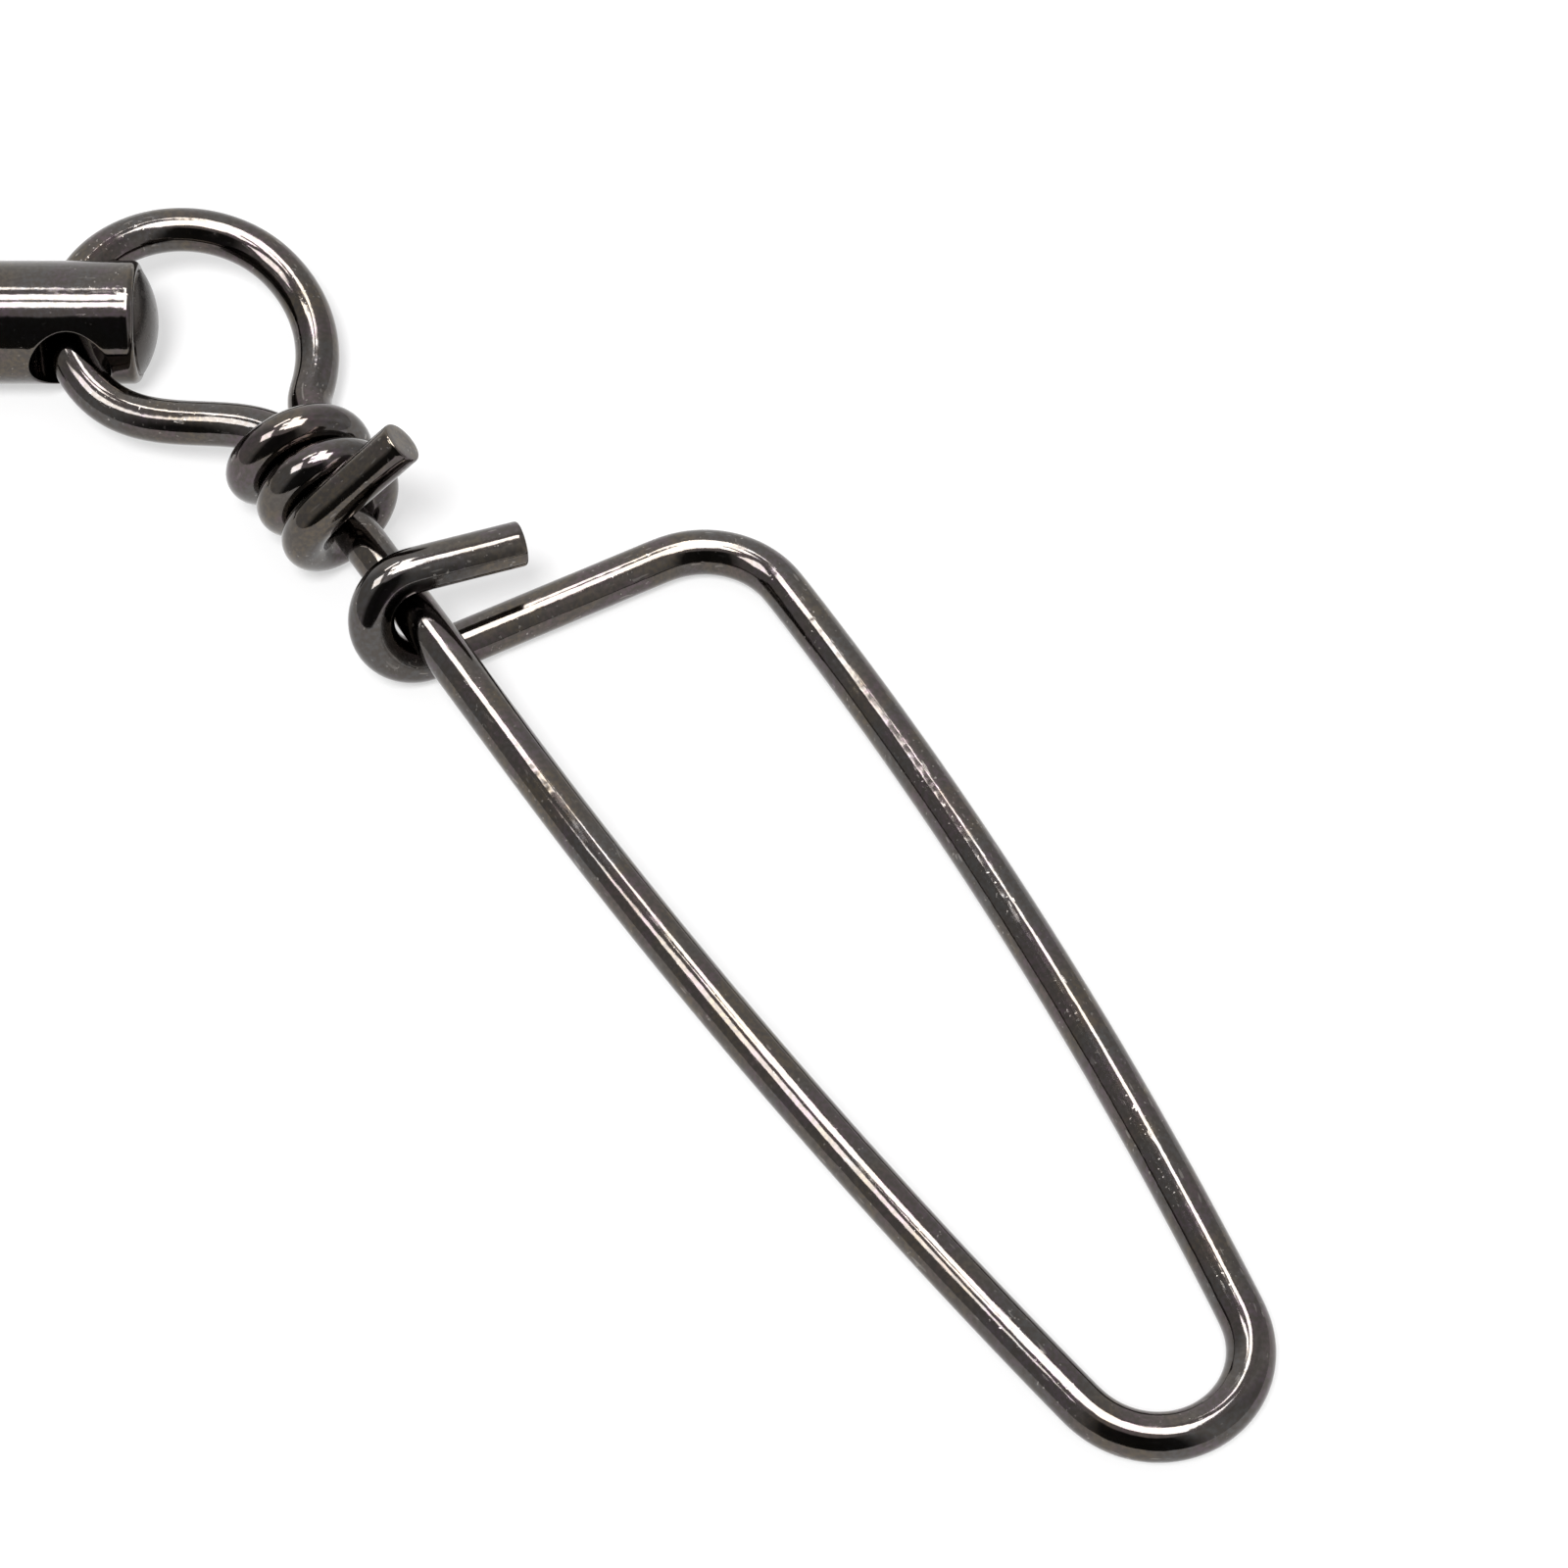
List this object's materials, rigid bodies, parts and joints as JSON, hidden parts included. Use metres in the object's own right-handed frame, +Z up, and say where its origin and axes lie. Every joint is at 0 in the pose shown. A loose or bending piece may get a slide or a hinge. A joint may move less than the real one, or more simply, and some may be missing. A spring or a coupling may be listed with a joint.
{
  "type": "fishing snap swivel",
  "caption": "Wire fishing snap with a coil wrapped eye and a hooked closing end, hung on a ball bearing barrel swivel that carries a line ring.",
  "frame": {"origin": "under the middle of the whole part's box, on the surface that the part lies on", "axes": "+X along the snap's shank from the eye to the bottom bend, +Y from the shank to the other leg, +Z up from the surface"},
  "size_m": [0.0774, 0.0348, 0.008],
  "materials": {
    "snap_wire": "black nickel plated steel wire, polished",
    "swivel_barrel": "black nickel plated brass, polished",
    "end_bushing": "black nickel plated brass, satin",
    "bearing_steel": "bare hardened steel, ground",
    "swivel_stem": "black nickel plated brass, satin",
    "line_ring": "black nickel plated steel wire, polished"
  },
  "bodies": {
    "snap": {"snap_wire": "snap_wire"},
    "barrel": {"swivel_barrel": "swivel_barrel", "end_bushing": "end_bushing", "thrust_washer": "bearing_steel"},
    "ball_row": {"bearing_ball_1": "bearing_steel", "bearing_ball_2": "bearing_steel", "bearing_ball_3": "bearing_steel", "bearing_ball_4": "bearing_steel", "bearing_ball_5": "bearing_steel", "bearing_ball_6": "bearing_steel", "bearing_ball_7": "bearing_steel", "bearing_ball_8": "bearing_steel", "bearing_ball_9": "bearing_steel"},
    "stem": {"swivel_stem": "swivel_stem"},
    "ring": {"line_ring": "line_ring"}
  },
  "joints": [
    {"name": "barrel_swing", "type": "hinge", "parent": "snap", "child": "barrel", "pos_m": [-0.02403, 0.00264, 0.0025], "axis": [0, 0, 1], "range_deg": [-110, 60]},
    {"name": "stem_spin", "type": "hinge", "parent": "barrel", "child": "stem", "pos_m": [-0.02403, 0.00264, 0.0025], "axis": [-0.5446, -0.8387, 0], "continuous": true},
    {"name": "ball_orbit", "type": "hinge", "parent": "barrel", "child": "ball_row", "pos_m": [-0.02403, 0.00264, 0.0025], "axis": [-0.5446, -0.8387, 0], "continuous": true},
    {"name": "ring_flop", "type": "hinge", "parent": "stem", "child": "ring", "pos_m": [-0.03176, -0.00926, 0.0025], "axis": [0.8387, -0.5446, 0], "range_deg": [-160, 137]}
  ],
  "couplings": [
    {"joint": "ball_orbit", "follows": "stem_spin", "ratio": 0.5}
  ]
}
